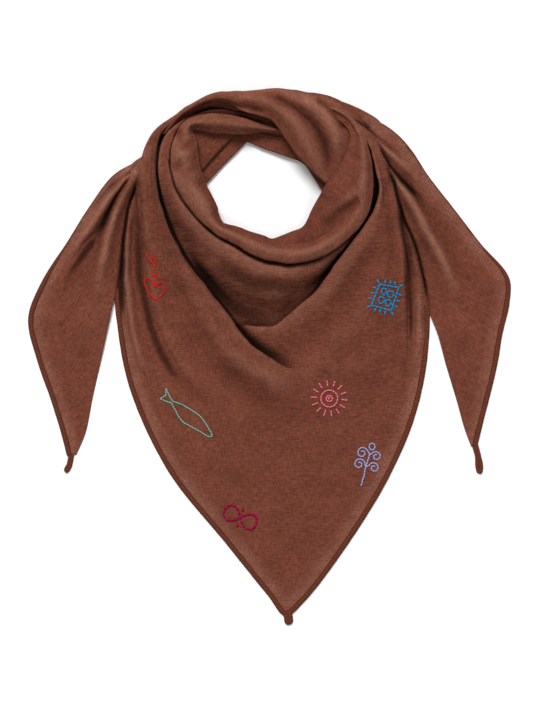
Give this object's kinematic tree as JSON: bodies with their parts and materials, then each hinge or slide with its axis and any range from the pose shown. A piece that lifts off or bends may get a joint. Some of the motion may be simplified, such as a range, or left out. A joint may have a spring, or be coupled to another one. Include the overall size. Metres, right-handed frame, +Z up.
{
  "type": "neck scarf",
  "caption": "Soft brown cotton gauze triangular neck scarf, draped as worn round an open neck hollow and laid flat, with embroidered folk figures.",
  "frame": {"origin": "centre of the scarf's outline, on the surface that it lies on", "axes": "+X to the wearer's left as the scarf lies, +Y from the front point to the nape, +Z up off the surface"},
  "size_m": [0.5307, 0.5905, 0.0389],
  "materials": {
    "brown_gauze": "matt crinkled cotton double gauze, plain weave, warm brown",
    "hem_brown": "matt rolled hem of the same cotton, darker and redder, with a fine stitched line"
  },
  "bodies": {
    "root": {"scarf_cloth": "brown_gauze", "front_hem": "hem_brown", "left_tail_hem": "hem_brown", "right_tail_hem": "hem_brown", "front_tab": "hem_brown", "left_tail_tab": "hem_brown", "right_tail_tab": "hem_brown"}
  },
  "joints": []
}
